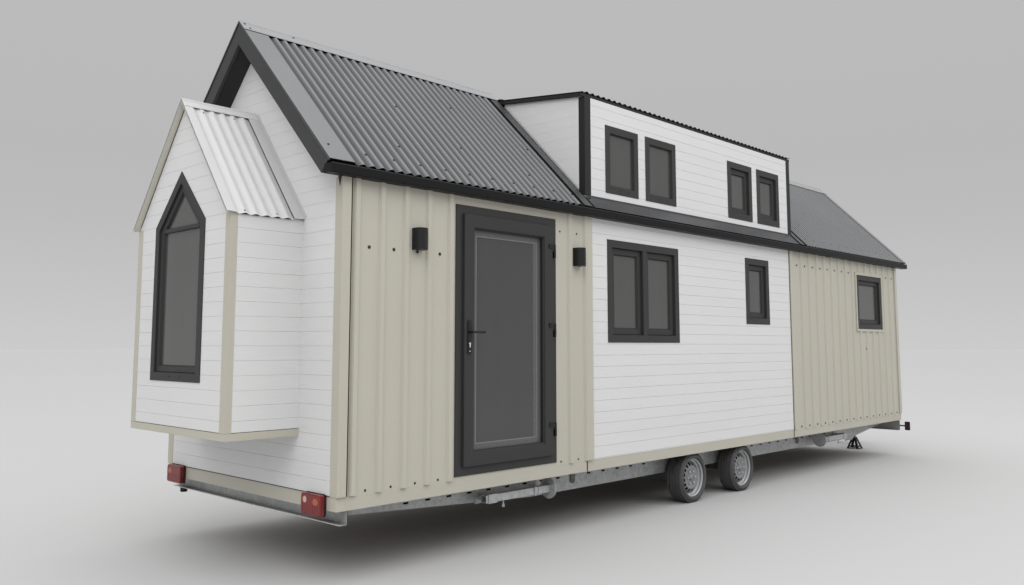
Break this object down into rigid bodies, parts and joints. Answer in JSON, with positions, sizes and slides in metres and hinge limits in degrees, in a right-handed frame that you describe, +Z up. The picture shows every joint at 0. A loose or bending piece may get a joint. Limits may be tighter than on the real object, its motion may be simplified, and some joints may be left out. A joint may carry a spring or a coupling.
{
  "type": "tiny house on a road trailer",
  "caption": "Gabled tiny house on a twin-axle trailer, with a pointed bay window, side dormers with loft windows, a glazed door, a drawbar and folded prop stands.",
  "frame": {"origin": "on the ground, under the middle of the whole assembly's box", "axes": "+Z up, +X along the house towards the drawbar, -Y out of the wall with the entrance door"},
  "size_m": [11.391, 2.643, 3.9982],
  "materials": {
    "timber": "satin",
    "white_boards": "satin",
    "beige_cladding": "satin",
    "roof_timber": "matte",
    "roof_metal": "satin",
    "dark_roof": "satin",
    "bay_roof": "satin",
    "dark_trim": "satin",
    "ridge_metal": "satin",
    "beige_trim": "satin",
    "dark_frame": "satin",
    "glass": "gloss",
    "black_metal": "satin",
    "galvanised": "satin",
    "stand_black": "satin",
    "tyre": "matte",
    "rim": "satin",
    "lens": "gloss"
  },
  "bodies": {
    "house": {"axle_beams": "galvanised", "bargeboards": "dark_trim", "base_trim": "beige_trim", "bay_floor": "white_boards", "bay_front_wall": "white_boards", "bay_roof": "bay_roof", "bay_side_walls": "white_boards", "bay_window_frame": "dark_frame", "bay_window_glass": "glass", "chassis_rails": "galvanised", "coupling_head": "galvanised", "cross_members": "galvanised", "door_frame": "dark_frame", "door_hinge_barrels": "black_metal", "dormer_cheeks": "white_boards", "dormer_corner_trims": "dark_trim", "dormer_front_walls": "white_boards", "dormer_roofs": "dark_roof", "dormer_window_frames": "dark_frame", "dormer_window_glass": "glass", "drawbar": "galvanised", "end_beams": "galvanised", "far_wall": "white_boards", "floor_deck": "timber", "front_stands": "stand_black", "front_wall": "white_boards", "gutters": "dark_trim", "loft_floor": "timber", "near_wall_front": "white_boards", "near_wall_over_door": "beige_cladding", "near_wall_rear": "beige_cladding", "prop_stand_clamps": "galvanised", "rear_wall": "white_boards", "ridge_caps": "ridge_metal", "roof_sheets": "roof_metal", "roof_slope_far": "roof_timber", "roof_slope_near": "roof_timber", "side_window_frames": "dark_frame", "side_window_glass": "glass", "trailer_lamps": "lens", "wall_lamps": "black_metal", "wall_trims": "beige_trim"},
    "door": {"door_leaf": "dark_frame", "door_glass": "glass", "door_hinge_flaps": "black_metal", "door_handle_plates": "black_metal"},
    "door_handle": {"door_handle": "black_metal"},
    "wheel_near_rear": {"tyre_near_rear": "tyre", "rim_near_rear": "rim"},
    "wheel_near_front": {"tyre_near_front": "tyre", "rim_near_front": "rim"},
    "wheel_far_rear": {"tyre_far_rear": "tyre", "rim_far_rear": "rim"},
    "wheel_far_front": {"tyre_far_front": "tyre", "rim_far_front": "rim"},
    "prop_near_rear": {"prop_stand_near_rear": "galvanised"},
    "prop_near_front": {"prop_stand_near_front": "galvanised"},
    "prop_far_rear": {"prop_stand_far_rear": "galvanised"},
    "prop_far_front": {"prop_stand_far_front": "galvanised"}
  },
  "joints": [
    {"name": "door_hinge", "type": "hinge", "parent": "house", "child": "door", "pos_m": [-3.0225, -1.2275, 1.635], "axis": [0, 0, 1], "range_deg": [0, 110]},
    {"name": "door_handle_turn", "type": "hinge", "parent": "door", "child": "door_handle", "pos_m": [-3.9825, -1.2205, 1.635], "axis": [0, 1, 0], "range_deg": [0, 45], "stiffness_Nm_per_rad": 3, "springref_deg": -11.46},
    {"name": "wheel_near_rear_spin", "type": "hinge", "parent": "house", "child": "wheel_near_rear", "pos_m": [-0.8725, -1.0715, 0.24], "axis": [0, 1, 0], "continuous": true},
    {"name": "wheel_near_front_spin", "type": "hinge", "parent": "house", "child": "wheel_near_front", "pos_m": [0.0795, -1.0715, 0.24], "axis": [0, 1, 0], "continuous": true},
    {"name": "wheel_far_rear_spin", "type": "hinge", "parent": "house", "child": "wheel_far_rear", "pos_m": [-0.8725, 1.0715, 0.24], "axis": [0, 1, 0], "continuous": true},
    {"name": "wheel_far_front_spin", "type": "hinge", "parent": "house", "child": "wheel_far_front", "pos_m": [0.0795, 1.0715, 0.24], "axis": [0, 1, 0], "continuous": true},
    {"name": "prop_near_rear_swing", "type": "hinge", "parent": "house", "child": "prop_near_rear", "pos_m": [-3.6125, -1.0695, 0.369], "axis": [0, 1, 0], "range_deg": [0, 24]},
    {"name": "prop_near_front_swing", "type": "hinge", "parent": "house", "child": "prop_near_front", "pos_m": [2.8175, -1.0695, 0.369], "axis": [0, -1, 0], "range_deg": [0, 24]},
    {"name": "prop_far_rear_swing", "type": "hinge", "parent": "house", "child": "prop_far_rear", "pos_m": [-3.6125, 1.0695, 0.369], "axis": [0, 1, 0], "range_deg": [0, 24]},
    {"name": "prop_far_front_swing", "type": "hinge", "parent": "house", "child": "prop_far_front", "pos_m": [2.8175, 1.0695, 0.369], "axis": [0, -1, 0], "range_deg": [0, 24]}
  ]
}
